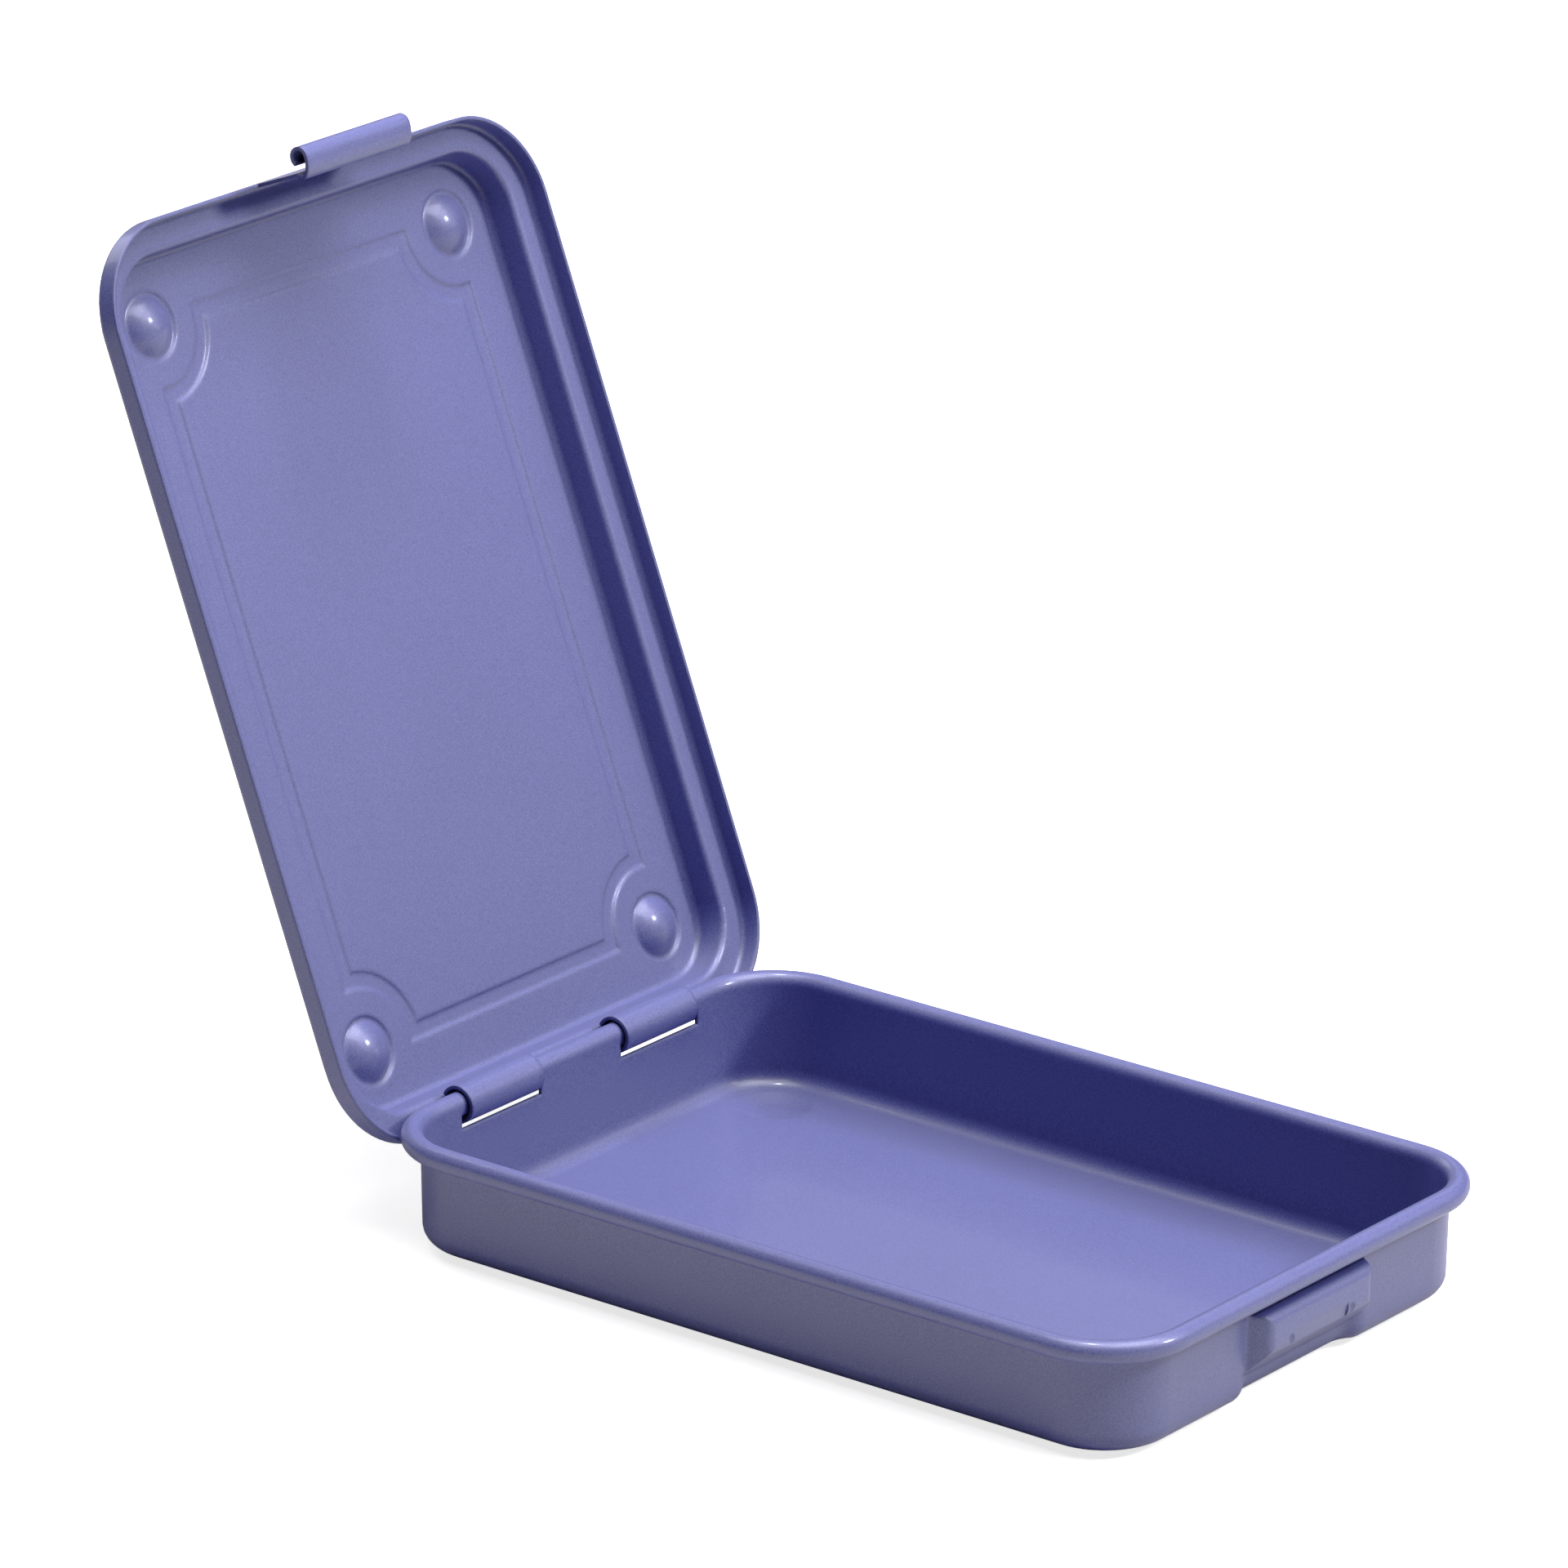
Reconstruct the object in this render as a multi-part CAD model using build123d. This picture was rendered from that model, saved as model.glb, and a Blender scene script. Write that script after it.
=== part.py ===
from build123d import *
import math
import os

# Flat steel storage box pressed from sheet: a tray with a rolled rim and a lid whose own
# hooks turn on that rim. All sizes are in millimetres. X runs along the hinge, the latch
# faces -Y and Z is up. Both pieces are shaped with the origin on the floor under the middle
# of the tray, the lid shut. The lid is then swung open to its stop, which is the rest
# position, and both move so that the origin lies under the middle of the open box.

# Sheet and rim
tray_sheet = 0.6
lid_sheet = 0.6
rim_radius = 1.9
rim_half_width = 50.1
rim_half_length = 74.5
rim_corner = 14.2
rim_height = 18.2
curl_angle = 305.0

# Tray
wall_draft = 1.0
pan_edge_radius = 3.4
foot_height = 0.9
foot_radius = 6.6
foot_rise = 1.2

# Feet of one box stand in the dimples of the lid below it
foot_from_side = 12.7
foot_from_end = 13.1

# Hinge
open_angle = 111.5
eye_offset_out = 0.15
eye_offset_down = 0.25
skirt_gap_back = 0.87
hook_width = 18.5
hook_centre = 20.2
hook_wrap = 227.0
hook_gap_in = 0.55
hook_gap_out = 1.35
window_below_rim = 3.7
window_top_below_rim = 1.2
stop_gap = 0.06
trim_into_corner = 8.0

# Lid
skirt_gap_front = 0.4
skirt_gap_side = 1.25
lid_corner = 16.3
skirt_height = 3.9
seat_gap = 0.4
shoulder_radius = 0.9
ledge_width = 4.6
step_height = 5.4
step_slope = 5.0
step_foot_radius = 0.35
panel_edge_radius = 1.1

# Pressings in the panel of the lid
panel_shift = 0.4
dimple_radius = 4.5
dimple_depth = 1.8
ring_radius = 5.7
ring_height = 0.4
ring_slope = 45.0
frame_width = 2.6
frame_height = 0.32
frame_corner = 11.7
frame_slope = 50.0
press_radius = 0.35
press_root = 0.2

# Latch
tongue_width = 26.0
tongue_drop = 8.6
nose_reach = 0.65
nose_below_hip = 1.35
nose_fullness = 0.55
curl_radius = 1.8
curl_reach = 2.7
curl_below_nose = 0.4
curl_end_angle = 222.0
boss_width = 27.0
boss_below_rim = 3.2
boss_face_height = 6.0
boss_over_nose = 0.3
boss_flank = 2.5
boss_edge = 1.6
boss_blend = 0.8
relief_depth = 1.8
relief_width = 27.0
relief_flank_angle = 35.0
relief_blend = 4.0
facet_half_width = 7.2
facet_height = 1.9
facet_depth = 0.5
dent_offset = 8.2
dent_radius = 1.05
dent_depth = 0.4
dent_top = 11.6
dent_bottom = 8.5

# Places that follow from the sizes above
rim_z = foot_height + rim_height
stack_half_width = rim_half_width - foot_from_side
stack_half_length = rim_half_length - foot_from_end
wall_half_width = rim_half_width - rim_radius + tray_sheet
wall_half_length = rim_half_length - rim_radius + tray_sheet
wall_corner = rim_corner - rim_radius + tray_sheet
hinge_y = rim_half_length + eye_offset_out
hinge_z = rim_z - eye_offset_down
lid_back = rim_half_length + rim_radius + skirt_gap_back + lid_sheet
lid_front = -(rim_half_length + rim_radius + skirt_gap_front + lid_sheet)
lid_half_width = rim_half_width + rim_radius + skirt_gap_side + lid_sheet
lid_half_length = (lid_back - lid_front) / 2
lid_middle = (lid_back + lid_front) / 2
ledge_under = rim_z + rim_radius + seat_gap
ledge_top = ledge_under + lid_sheet
skirt_edge = ledge_top - skirt_height
panel_top = ledge_top + step_height
tongue_y = lid_front + lid_sheet / 2
nose_face = lid_front + lid_sheet + nose_reach
boss_face = nose_face - boss_over_nose
catch_edge_z = rim_z - boss_below_rim - boss_face_height
relief_flank = relief_depth / math.tan(math.radians(relief_flank_angle))
relief_reach = relief_width / 2 + relief_flank + relief_blend / 2
far = 200.0


def block(x0, x1, y0, y1, z0, z1):
    """Box between two corners."""
    size = Box(x1 - x0, y1 - y0, z1 - z0)
    return Pos((x0 + x1) / 2, (y0 + y1) / 2, (z0 + z1) / 2) * size


def across(x):
    """Plane across the box at x, drawn with Y to the right and Z up."""
    return Plane(origin=(x, 0, 0), x_dir=(0, 1, 0), z_dir=(1, 0, 0))


def stack_points():
    """Middle of each foot, and of the lid dimple that takes it."""
    return [(sx * stack_half_width, sy * stack_half_length) for sx in (-1, 1) for sy in (-1, 1)]


def pan_outline(inset):
    """Outline of the pan at its rim, moved inwards by inset."""
    width, length = 2 * (wall_half_width - inset), 2 * (wall_half_length - inset)
    return RectangleRounded(width, length, wall_corner - inset)


def hollowed_outline(inset):
    """The same outline with the shallow hollow of the catch in its front side."""
    angle = math.radians(relief_flank_angle)
    front = -(wall_half_length - inset)
    deep = front + relief_depth
    half = relief_width / 2 + inset * math.tan(angle / 2)
    mouth = half + relief_flank
    hollow = Polyline((-mouth, front), (-half, deep), (half, deep), (mouth, front), close=True)
    outline = pan_outline(inset) - make_face(hollow)
    corners = outline.vertices().filter_by(lambda v: abs(v.X) < mouth + inset and v.Y < 0)
    outline = fillet(corners.group_by(Axis.Y)[-1], relief_blend + inset)
    corners = outline.vertices().filter_by(lambda v: abs(abs(v.X) - mouth) < inset + tray_sheet and v.Y < 0)
    return fillet(corners.group_by(Axis.Y)[0], relief_blend - inset)


def pan_form(inset, outline):
    """Drafted pan with a rounded bottom edge, drawn down from its outline at the rim."""
    top = Plane(origin=(0, 0, rim_z), x_dir=(-1, 0, 0), z_dir=(0, 0, -1))
    pan = extrude(top * outline, amount=rim_height - inset, taper=wall_draft)
    return fillet(pan.edges().group_by(Axis.Z)[0], pan_edge_radius - inset)


def foot_form(inset):
    """Round foot with a flat tread, standing below the pan floor."""
    ball = (foot_radius ** 2 + foot_rise ** 2) / (2 * foot_rise)
    centre = foot_height - foot_rise + ball
    cap = Pos(0, 0, centre) * Sphere(ball - inset)
    return cap & block(-far, far, -far, far, inset, foot_height + inset)


def catch_slope(inset):
    """Height at which the 45 degree slope under the catch would meet the plane y = 0."""
    return catch_edge_z + boss_face + inset * math.sqrt(2)


def boss_form(inset):
    """Raised catch on the front wall, with sloping flanks and a sloping underside."""
    face = boss_face + inset
    root = -wall_half_length + tray_sheet + inset
    high = rim_z - boss_below_rim - inset
    half = boss_width / 2 - inset
    foot = half + boss_flank
    plan = Polyline((-foot, root), (-half, face), (half, face), (foot, root), close=True)
    slope = catch_slope(inset)
    side = Polyline((root, high), (face, high), (face, slope - face), (root, slope - root), close=True)
    boss = extrude(make_face(plan), amount=far) & extrude(across(-far) * make_face(side), amount=2 * far)
    front = boss.edges().filter_by(lambda e: e.center().Y < face + tray_sheet)
    boss = fillet(front, boss_edge - inset / 2)
    return boss - facet_form(inset) - dent_forms(inset)


def facet_form(inset):
    """Wedge cut from the face of the catch, so that its middle tips down to its lower edge."""
    face = boss_face + inset
    top = catch_edge_z + facet_height
    deep = face + 2 * facet_depth
    low = top - 2 * facet_height
    side = Polyline((face - far, top), (face, top), (deep, low), (face - far, low), close=True)
    half = facet_half_width + inset
    return extrude(across(-half) * make_face(side), amount=2 * half)


def dent_forms(inset):
    """Two upright dents in the face of the catch, at the ends of the facet."""
    radius = dent_radius + inset
    high, low = dent_top - dent_radius, dent_bottom + dent_radius
    rod = Pos(0, 0, (high + low) / 2) * Cylinder(radius, high - low)
    dent = rod + Pos(0, 0, high) * Sphere(radius) + Pos(0, 0, low) * Sphere(radius)
    y = boss_face - dent_radius + dent_depth
    return Pos(-dent_offset, y, 0) * dent + Pos(dent_offset, y, 0) * dent


def below_catch(inset):
    """Room under the slope of the catch, as wide as the whole hollow and its flanks."""
    slope = catch_slope(inset)
    back = -wall_half_length + relief_depth + 2 * pan_edge_radius
    side = Polyline((-far, -far), (back, -far), (back, slope - back), (-far, slope + far), close=True)
    return extrude(across(-relief_reach) * make_face(side), amount=2 * relief_reach)


def pan_with_catch(inset):
    """Pan with the catch on its front wall and the hollow under it."""
    under = below_catch(inset)
    pan, boss = pan_form(inset, pan_outline(inset)), boss_form(inset)
    upper = pan + boss
    upper = fillet(new_edges(pan, boss, combined=upper), boss_blend + inset) - under
    return upper + (pan_form(inset, hollowed_outline(inset)) & under)


def rim_path():
    """Middle line of the rolled rim, starting halfway along the right side."""
    x, y, r = rim_half_width, rim_half_length, rim_corner
    runs = [Line((x, 0), (x, y - r)), CenterArc((x - r, y - r), r, 0, 90)]
    runs += [Line((x - r, y), (r - x, y)), CenterArc((r - x, y - r), r, 90, 90)]
    runs += [Line((-x, y - r), (-x, r - y)), CenterArc((r - x, r - y), r, 180, 90)]
    runs += [Line((r - x, -y), (x - r, -y)), CenterArc((x - r, r - y), r, 270, 90)]
    runs += [Line((x, r - y), (x, 0))]
    return Pos(0, 0, rim_z) * Wire(runs)


def rim_curl():
    """Sheet rolled outwards from the top of the wall, almost back to the wall."""
    arc = CenterArc((0, 0), rim_radius - tray_sheet / 2, 180 - curl_angle, curl_angle)
    section = Plane(origin=(rim_half_width, 0, rim_z), x_dir=(1, 0, 0), z_dir=(0, -1, 0))
    face = (section * trace(arc, tray_sheet)).face()
    return sweep(face, path=rim_path())


def hinge_window(side):
    """Opening in the back wall that a hook of the lid passes through."""
    near = side * (hook_centre - hook_width / 2 - hook_gap_in)
    away = side * (hook_centre + hook_width / 2 + hook_gap_out)
    inner = wall_half_length - 2 * tray_sheet
    outer = wall_half_length + tray_sheet / 4
    low, high = rim_z - window_below_rim, rim_z - window_top_below_rim
    return block(min(near, away), max(near, away), inner, outer, low, high)


def make_tray():
    """Tray: pan, rolled rim, four feet, two hinge windows and the catch."""
    outside, inside = pan_with_catch(0), pan_with_catch(tray_sheet)
    for x, y in stack_points():
        outside += Pos(x, y, 0) * foot_form(0)
        inside += Pos(x, y, 0) * foot_form(tray_sheet)
    tray = outside - inside + rim_curl()
    for side in (-1, 1):
        tray -= hinge_window(side)
    return tray


def lid_outline(inset, radius):
    """Rounded outline of the lid, moved inwards by inset."""
    width = 2 * (lid_half_width - inset)
    length = 2 * (lid_half_length - inset)
    return Pos(0, lid_middle, 0) * RectangleRounded(width, length, radius)


def skirt_form(inset):
    """Shallow cap with a rounded shoulder."""
    outline = Pos(0, 0, skirt_edge) * lid_outline(inset, lid_corner - inset)
    cap = extrude(outline, amount=skirt_height - inset)
    return fillet(cap.edges().group_by(Axis.Z)[-1], shoulder_radius - inset / 2)


def step_form(inset):
    """Raised middle of the lid, sloping a little towards the flat panel."""
    outline = Pos(0, 0, skirt_edge) * lid_outline(ledge_width + inset, lid_corner - ledge_width - inset)
    step = extrude(outline, amount=skirt_height + step_height - inset, taper=step_slope)
    return fillet(step.edges().group_by(Axis.Z)[-1], panel_edge_radius - inset / 2)


def raised_edge(outer, height, slope):
    """How far the sloping side of a pressing runs out beyond its middle, down to its root."""
    return outer + (height / 2 + press_root) * math.tan(math.radians(slope))


def ring_form(level):
    """Low raised collar round a dimple, with its root in the sheet."""
    disc = Pos(0, 0, level - press_root) * Circle(raised_edge(ring_radius, ring_height, ring_slope))
    ring = extrude(disc, amount=ring_height + press_root, taper=ring_slope)
    return fillet(ring.edges().group_by(Axis.Z)[-1], press_radius)


def dimple_form(grow):
    """Bowl pressed down into the panel, grown outwards by one sheet for its underside."""
    ball = (dimple_radius ** 2 + dimple_depth ** 2) / (2 * dimple_depth)
    bowl = Pos(0, 0, panel_top - dimple_depth + ball) * Sphere(ball + grow)
    return bowl & block(-far, far, -far, far, 0, panel_top + ring_height + lid_sheet)


def frame_outline(offset):
    """Rectangle through the dimples, its corners hollowed out round them."""
    x, y = stack_half_width + offset, stack_half_length + offset
    r = frame_corner - offset
    reach = math.sqrt(r ** 2 - offset ** 2)
    x_in, y_in = stack_half_width - reach, stack_half_length - reach
    turn = r * math.sqrt(0.5)
    runs = []
    for sx, sy in ((1, 1), (-1, 1), (-1, -1), (1, -1)):
        on_side = (sx * x, sy * y_in)
        on_end = (sx * x_in, sy * y)
        middle = (sx * (stack_half_width - turn), sy * (stack_half_length - turn))
        arc = ThreePointArc(on_side, middle, on_end)
        runs.append(arc)
    lines = [
        Line((x_in, y), (-x_in, y)),
        Line((-x, y_in), (-x, -y_in)),
        Line((-x_in, -y), (x_in, -y)),
        Line((x, -y_in), (x, y_in)),
    ]
    return make_face(Wire(runs + lines))


def frame_form(level):
    """Low raised band that follows the frame outline, with its root in the sheet."""
    half = raised_edge(frame_width / 2, frame_height, frame_slope)
    band = frame_outline(half) - frame_outline(-half)
    frame = extrude(Pos(0, 0, level - press_root) * band, amount=frame_height + press_root, taper=frame_slope)
    return fillet(frame.edges().group_by(Axis.Z)[-1], press_radius)


def cap_form(inset):
    """Skirt and step as one form, with a soft foot to the step."""
    skirt, step = skirt_form(inset), step_form(inset)
    cap = skirt + step
    return fillet(new_edges(skirt, step, combined=cap), step_foot_radius + inset)


def dimple_places():
    """Middle of each dimple; the pressings sit a little nearer the hinge than the middle of the lid."""
    return [(x, y + lid_middle + panel_shift) for x, y in stack_points()]


def panel_work(level):
    """Raised frame and dimple collars standing on a face at the given level."""
    work = Pos(0, lid_middle + panel_shift, 0) * frame_form(level)
    for x, y in dimple_places():
        work += Pos(x, y, 0) * ring_form(level)
    return work


def panel_form(inset):
    """Cap with the frame, the collars and the dimples pressed into its panel."""
    level = panel_top - inset
    flat, work = cap_form(inset), panel_work(level)
    raised = flat + work
    raised = fillet(new_edges(flat, work, combined=raised), press_radius)
    bowls = Part()
    for x, y in dimple_places():
        bowls += Pos(x, y, 0) * dimple_form(inset)
    pressed = raised - bowls
    return fillet(new_edges(raised, bowls, combined=pressed), press_radius)


def hook_form(side):
    """Tab of the skirt that curls under, round and over the rim."""
    mid = lid_back - lid_sheet / 2 - hinge_y
    origin = (side * hook_centre - hook_width / 2, hinge_y, hinge_z)
    plane = Plane(origin=origin, x_dir=(0, 1, 0), z_dir=(1, 0, 0))
    curl = CenterArc((0, 0), mid, -hook_wrap, hook_wrap)
    return extrude(plane * trace(curl, lid_sheet), amount=hook_width)


def tongue_form():
    """Springy tongue with a nose that snaps under the catch and a rolled finger edge."""
    hip = (tongue_y, skirt_edge - tongue_drop)
    nose = (nose_face - lid_sheet / 2, hip[1] - nose_below_hip)
    pull = nose_fullness * nose_below_hip
    run = Line((tongue_y, skirt_edge + lid_sheet), hip)
    swell = Bezier(hip, (hip[0], hip[1] - pull), (nose[0], nose[1] + pull), nose)
    r = curl_radius - lid_sheet / 2
    centre = (tongue_y - curl_reach, nose[1] - curl_below_nose)
    foot = (centre[0], centre[1] - r)
    down, out = nose_fullness * (nose[1] - foot[1]), nose_fullness * (nose[0] - foot[0])
    turn = Bezier(nose, (nose[0], nose[1] - down), (foot[0] + out, foot[1]), foot)
    curl = CenterArc(centre, r, 270, -curl_end_angle)
    section = trace(run, lid_sheet) + trace(swell, lid_sheet)
    section += trace(turn, lid_sheet) + trace(curl, lid_sheet)
    return extrude(across(-tongue_width / 2) * section, amount=tongue_width)


def back_trim():
    """Strip cut from the back skirt so that its edge stops on the back wall."""
    angle = math.radians(open_angle)
    out = lid_back - hinge_y
    wall = wall_half_length + stop_gap - hinge_y
    edge = hinge_z + (wall - out * math.cos(angle)) / math.sin(angle)
    half = lid_half_width - lid_corner + trim_into_corner
    return block(-half, half, hinge_y, lid_back + lid_sheet, skirt_edge - lid_sheet, edge)


def make_lid():
    """Lid, shaped in its shut position."""
    lid = panel_form(0) - panel_form(lid_sheet) - back_trim()
    for side in (-1, 1):
        lid += hook_form(side)
    return lid + tongue_form()


def swing_open(shape):
    """Turn the shut lid about the hinge line to its open stop."""
    line = Axis((0, hinge_y, hinge_z), (1, 0, 0))
    return shape.rotate(line, -open_angle)


tray = make_tray()
lid = swing_open(make_lid())
front = tray.bounding_box().min.Y
back = lid.bounding_box().max.Y
to_middle = Pos(0, -(front + back) / 2, 0)

os.makedirs("parts", exist_ok=True)
export_step(to_middle * tray, "parts/tray.step")
export_step(to_middle * lid, "parts/lid.step")
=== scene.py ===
import math

import bpy
from mathutils import Matrix, Vector

# Looks, light and camera for the steel storage box. Lengths are in metres, apart from the
# camera's place, which is worked out in the millimetres of the CAD source.

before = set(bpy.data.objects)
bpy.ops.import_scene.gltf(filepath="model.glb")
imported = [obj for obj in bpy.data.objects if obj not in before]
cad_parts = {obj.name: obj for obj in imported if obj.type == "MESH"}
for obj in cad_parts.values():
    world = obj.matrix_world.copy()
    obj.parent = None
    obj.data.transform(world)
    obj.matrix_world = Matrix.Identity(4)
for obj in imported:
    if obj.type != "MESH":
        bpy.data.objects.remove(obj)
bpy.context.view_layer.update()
scene = bpy.context.scene


def srgb(r, g, b):
    """Linear colour of 8-bit screen values."""
    out = []
    for value in (r, g, b):
        v = value / 255
        out.append(v / 12.92 if v <= 0.04045 else ((v + 0.055) / 1.055) ** 2.4)
    return (*out, 1.0)


def put(node, values):
    """Give sockets of a node, found by name, a fixed value."""
    for socket, value in values.items():
        node.inputs[socket].default_value = value


# Tone curve of a studio camera, with a soft toe and a soft shoulder: scene level, shown level
TONE_CURVE = ((0.035, 0.026), (0.14, 0.146), (0.25, 0.246), (0.5, 0.455), (0.75, 0.73))
ALL_CHANNELS = 3


def set_tones():
    """Show colours plainly, through the tone curve alone."""
    view = scene.view_settings
    view.view_transform = "Standard"
    view.look = "None"
    view.exposure = 0.0
    view.gamma = 1.0
    view.use_curve_mapping = True
    tones = view.curve_mapping
    for level, shown in TONE_CURVE:
        tones.curves[ALL_CHANNELS].points.new(level, shown)
    tones.update()


# Powder coat: a rough base under a thinner, glossier film
COAT = srgb(91, 94, 143)
COAT_DARK = srgb(68, 70, 121)
COAT_IOR = 1.5
COAT_SPECULAR = 0.5
COAT_ROUGH = 0.45
ROUGH_BELOW = 0.03
ROUGH_ABOVE = 0.04
GLOSS_WEIGHT = 0.3
GLOSS_ROUGH = 0.14

# Its grain, the waves of the orange peel and the slow changes of tone
GRAIN_SIZE = 0.00026
ORANGE_PEEL_SIZE = 0.0022
CLOUD_SCALE = 38.0
GRAIN_SHARE = 0.92
CLOUD_SHARE = 0.08
NOISE_LOW = 0.3
NOISE_HIGH = 0.7

# Relief in shading only
EDGE_RADIUS = 0.001
EDGE_SAMPLES = 6
GRAIN_STRENGTH = 0.16
GRAIN_DEPTH = 0.00006
PEEL_STRENGTH = 0.10
PEEL_DEPTH = 0.00012


def noise(tree, place, scale, detail, roughness=0.5):
    """Noise fixed to the piece, so that it moves with it."""
    node = tree.nodes.new("ShaderNodeTexNoise")
    put(node, {"Scale": scale, "Detail": detail, "Roughness": roughness})
    tree.links.new(place, node.inputs["Vector"])
    return node.outputs["Fac"]


def coat_colour(tree, grain, cloud):
    """Dark to light coat colour, led by the grain with a little of the cloud."""
    soft = tree.nodes.new("ShaderNodeMath")
    soft.operation = "MULTIPLY"
    soft.inputs[1].default_value = CLOUD_SHARE
    tree.links.new(cloud, soft.inputs[0])
    tone = tree.nodes.new("ShaderNodeMath")
    tone.operation = "MULTIPLY_ADD"
    tone.inputs[1].default_value = GRAIN_SHARE
    tree.links.new(grain, tone.inputs[0])
    tree.links.new(soft.outputs[0], tone.inputs[2])
    colour = tree.nodes.new("ShaderNodeValToRGB")
    low, high = colour.color_ramp.elements
    low.position = NOISE_LOW
    low.color = COAT_DARK
    high.position = NOISE_HIGH
    high.color = COAT
    tree.links.new(tone.outputs[0], colour.inputs[0])
    return colour.outputs[0]


def coat_roughness(tree, grain):
    """Roughness that varies a little with the grain."""
    rough = tree.nodes.new("ShaderNodeMapRange")
    put(rough, {"From Min": NOISE_LOW, "From Max": NOISE_HIGH})
    put(rough, {"To Min": COAT_ROUGH - ROUGH_BELOW, "To Max": COAT_ROUGH + ROUGH_ABOVE})
    tree.links.new(grain, rough.inputs["Value"])
    return rough.outputs[0]


def bump(tree, height, strength, depth, normal):
    """Relief added to the normal it is given."""
    node = tree.nodes.new("ShaderNodeBump")
    put(node, {"Strength": strength, "Distance": depth})
    tree.links.new(height, node.inputs["Height"])
    tree.links.new(normal, node.inputs["Normal"])
    return node.outputs[0]


def powder_coat(name):
    """Semi-gloss lavender powder coat: fine grain, faint orange peel and small changes of tone."""
    mat = bpy.data.materials.new(name)
    mat.use_nodes = True
    tree = mat.node_tree
    tree.nodes.clear()
    out = tree.nodes.new("ShaderNodeOutputMaterial")
    shader = tree.nodes.new("ShaderNodeBsdfPrincipled")
    put(shader, {"IOR": COAT_IOR, "Specular IOR Level": COAT_SPECULAR})
    put(shader, {"Coat Weight": GLOSS_WEIGHT, "Coat Roughness": GLOSS_ROUGH})

    place = tree.nodes.new("ShaderNodeTexCoord").outputs["Object"]
    grain = noise(tree, place, 1 / GRAIN_SIZE, detail=2.0, roughness=0.6)
    peel = noise(tree, place, 1 / ORANGE_PEEL_SIZE, detail=1.0)
    cloud = noise(tree, place, CLOUD_SCALE, detail=2.0)

    soft_edge = tree.nodes.new("ShaderNodeBevel")
    soft_edge.samples = EDGE_SAMPLES
    put(soft_edge, {"Radius": EDGE_RADIUS})
    wavy = bump(tree, peel, PEEL_STRENGTH, PEEL_DEPTH, soft_edge.outputs[0])
    fine = bump(tree, grain, GRAIN_STRENGTH, GRAIN_DEPTH, wavy)

    tree.links.new(coat_colour(tree, grain, cloud), shader.inputs["Base Color"])
    tree.links.new(coat_roughness(tree, grain), shader.inputs["Roughness"])
    tree.links.new(fine, shader.inputs["Normal"])
    tree.links.new(shader.outputs[0], out.inputs[0])
    return mat


def coat_pieces():
    """Put the powder coat on every piece of the frame."""
    coat = powder_coat("lavender_powder_coat")
    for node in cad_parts.values():
        if not node.data.materials:
            node.data.materials.append(None)
        for slot in node.material_slots:
            slot.material = coat


# Paper floor, which the camera sees a little brighter than it lights the box
FLOOR_HALF = 3.0
WHITE = (1, 1, 1, 1)
PAPER = (0.56, 0.545, 0.545, 1)
PAPER_ROUGH = 0.9
PAPER_SPECULAR = 0.1
PAPER_GLOW = 0.78


def white_paper():
    """Matt paper that glows towards the camera alone."""
    paper = bpy.data.materials.new("white_paper")
    paper.use_nodes = True
    tree = paper.node_tree
    shader = tree.nodes["Principled BSDF"]
    put(shader, {"Base Color": PAPER, "Roughness": PAPER_ROUGH})
    put(shader, {"Specular IOR Level": PAPER_SPECULAR, "Emission Color": WHITE})
    seen = tree.nodes.new("ShaderNodeLightPath")
    glow = tree.nodes.new("ShaderNodeMath")
    glow.operation = "MULTIPLY"
    glow.inputs[1].default_value = PAPER_GLOW
    tree.links.new(seen.outputs["Is Camera Ray"], glow.inputs[0])
    tree.links.new(glow.outputs[0], shader.inputs["Emission Strength"])
    return paper


def studio_floor():
    """Square sheet of paper under the box."""
    mesh = bpy.data.meshes.new("studio_floor")
    signs = ((-1, -1), (1, -1), (1, 1), (-1, 1))
    corners = [(x * FLOOR_HALF, y * FLOOR_HALF, 0) for x, y in signs]
    mesh.from_pydata(corners, [], [(0, 1, 2, 3)])
    sheet = bpy.data.objects.new("studio_floor", mesh)
    scene.collection.objects.link(sheet)
    mesh.materials.append(white_paper())
    return sheet


# Light: a faint even room and softboxes that all point at the middle of the box
ROOM_STRENGTH = 0.01
TARGET = Vector((0.0, -0.02, 0.04))


def light_room():
    """Faint white light from all sides."""
    world = bpy.data.worlds.new("studio")
    scene.world = world
    world.use_nodes = True
    put(world.node_tree.nodes["Background"], {"Color": WHITE, "Strength": ROOM_STRENGTH})


def softbox(name, towards, distance, width, height, power):
    """Rectangular light that faces the box from the given direction."""
    data = bpy.data.lights.new(name, "AREA")
    data.shape = "RECTANGLE"
    data.size = width
    data.size_y = height
    data.energy = power
    lamp = bpy.data.objects.new(name, data)
    direction = Vector(towards).normalized()
    lamp.location = TARGET + direction * distance
    lamp.rotation_euler = (-direction).to_track_quat("-Z", "Y").to_euler()
    scene.collection.objects.link(lamp)


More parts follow.
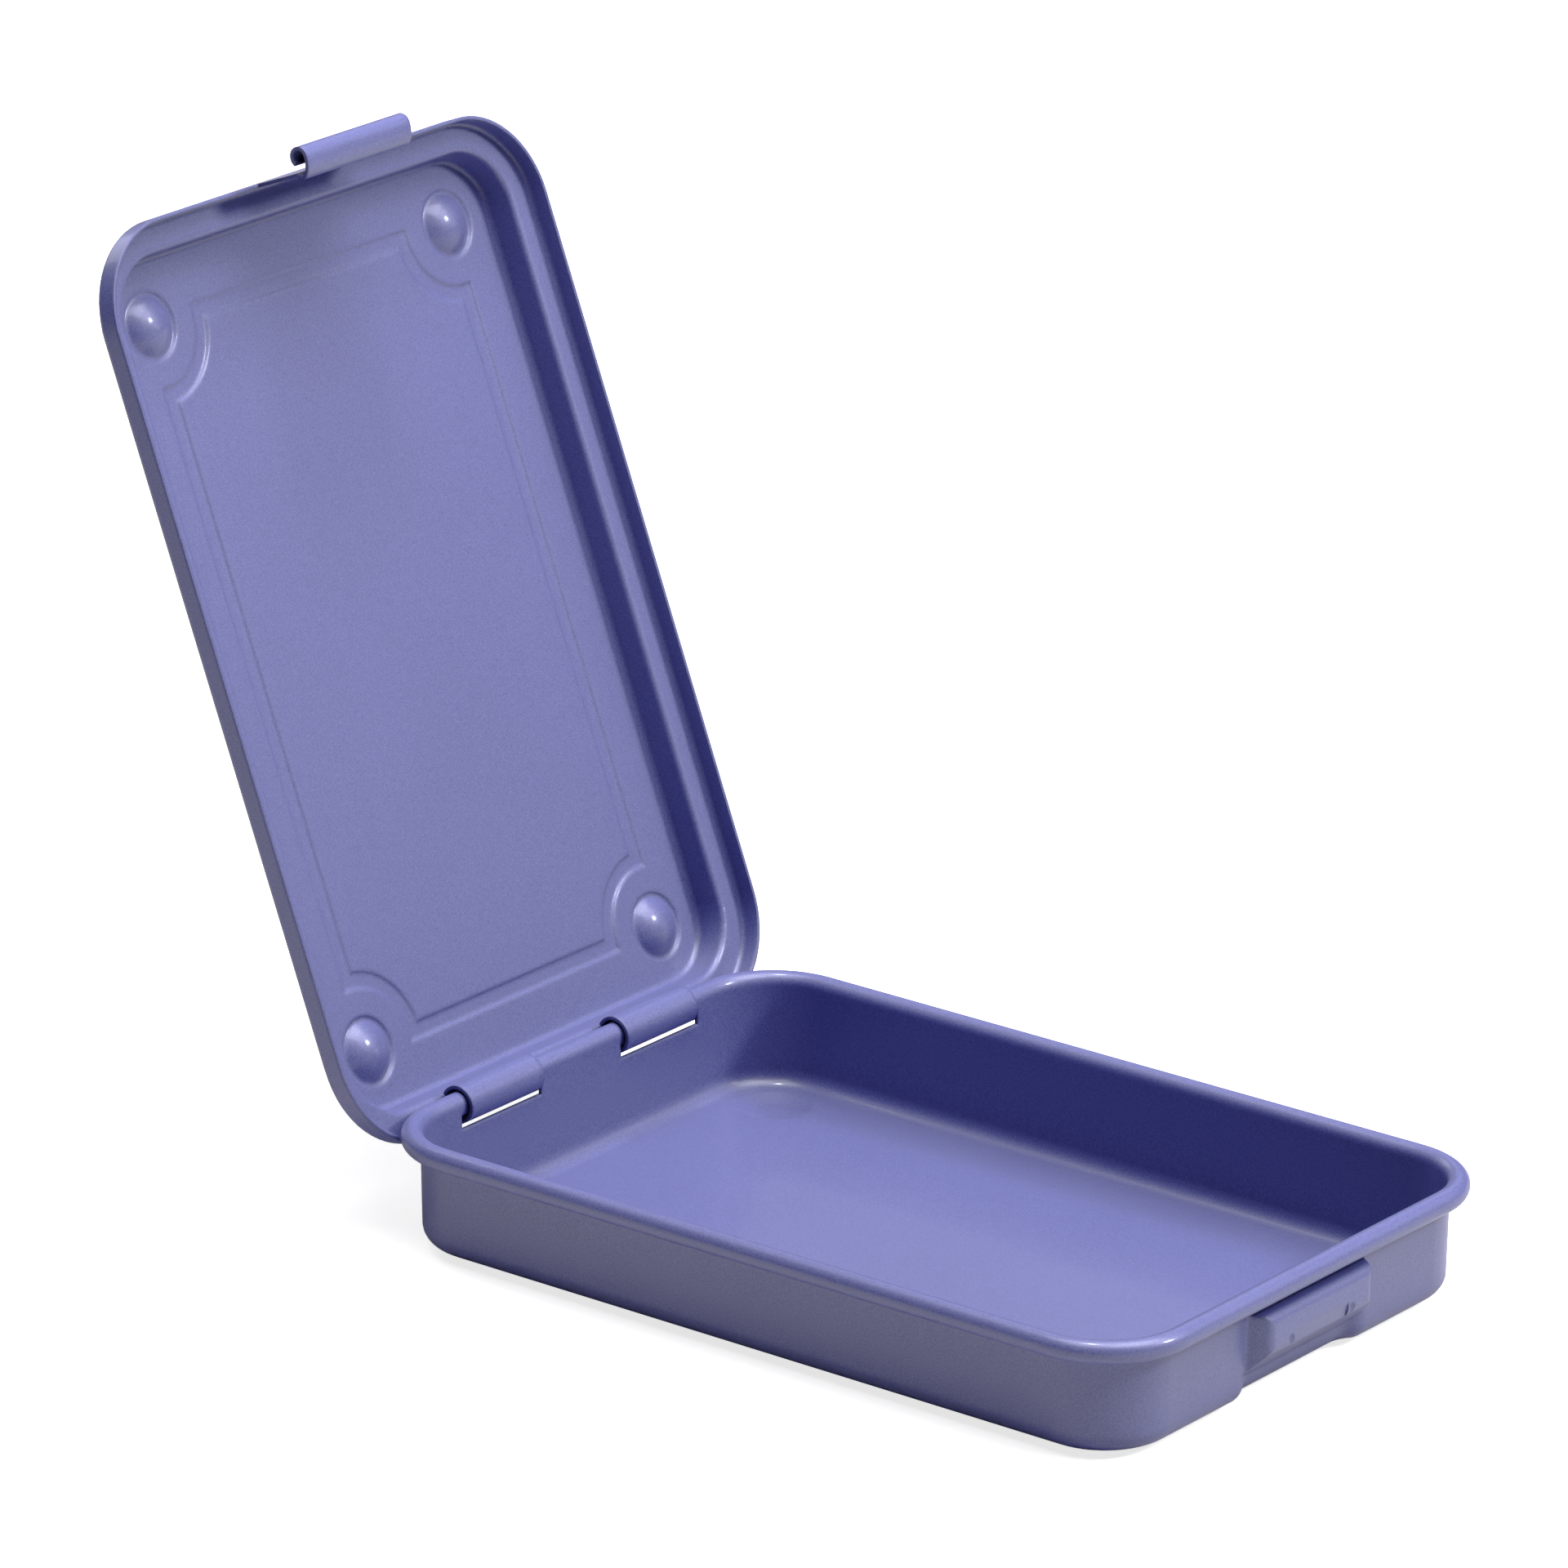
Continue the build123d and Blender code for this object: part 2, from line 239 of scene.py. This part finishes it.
# Camera at the photograph's angle, worked out for its square frame of 1920 pixels
FOCAL_PIXELS = 12345.61
FRAME_PIXELS = 1920
SENSOR_WIDTH = 36.0
CLIP_NEAR = 0.05
CLIP_FAR = 50.0
AZIMUTH = math.radians(52.23)
ELEVATION = math.radians(19.65)
ROLL = math.radians(0.44)

# Its place in millimetres, fitted round the tray and then moved to the origin of the frame
AIM_RIGHT = 23.75
AIM_UP = -77.15
DISTANCE = 1623.93
TRAY_TO_ROW = Vector((0.0, -29.802, 0.93))
MM_PER_M = 1000


def photo_camera():
    """Camera that sees the open box as the photograph does."""
    across = math.cos(ELEVATION)
    forward = Vector((math.sin(AZIMUTH) * across, math.cos(AZIMUTH) * across, -math.sin(ELEVATION)))
    level = Vector((math.cos(AZIMUTH), -math.sin(AZIMUTH), 0))
    upright = level.cross(forward)
    right = level * math.cos(ROLL) + upright * math.sin(ROLL)
    up = upright * math.cos(ROLL) - level * math.sin(ROLL)
    place = -(right * AIM_RIGHT + up * AIM_UP + forward * DISTANCE) + TRAY_TO_ROW
    data = bpy.data.cameras.new("camera")
    data.sensor_fit = "HORIZONTAL"
    data.sensor_width = SENSOR_WIDTH
    data.lens = SENSOR_WIDTH * FOCAL_PIXELS / FRAME_PIXELS
    data.clip_start = CLIP_NEAR
    data.clip_end = CLIP_FAR
    camera = bpy.data.objects.new("camera", data)
    turn = Matrix((right, up, -forward)).transposed().to_4x4()
    camera.matrix_world = Matrix.Translation(place / MM_PER_M) @ turn
    scene.collection.objects.link(camera)
    scene.camera = camera


set_tones()
coat_pieces()
floor = studio_floor()

# Each softbox: direction from the target, then distance, width and height in metres, and watts
light_room()
softbox("key", (0.41, -0.70, 0.58), 1.6, 0.28, 0.28, 18.5)
softbox("high", (0.21, -0.42, 0.91), 1.5, 1.0, 1.0, 17)
softbox("overhead", (0.04, 0.12, 1.0), 1.5, 0.15, 0.15, 8)
softbox("top", (0.05, -0.05, 1.0), 1.4, 1.4, 1.4, 32)
softbox("side", (0.75, 0.40, 0.60), 1.6, 0.8, 0.8, 2)
softbox("back", (0.25, 1.0, 0.55), 1.7, 0.9, 0.6, 6)
photo_camera()
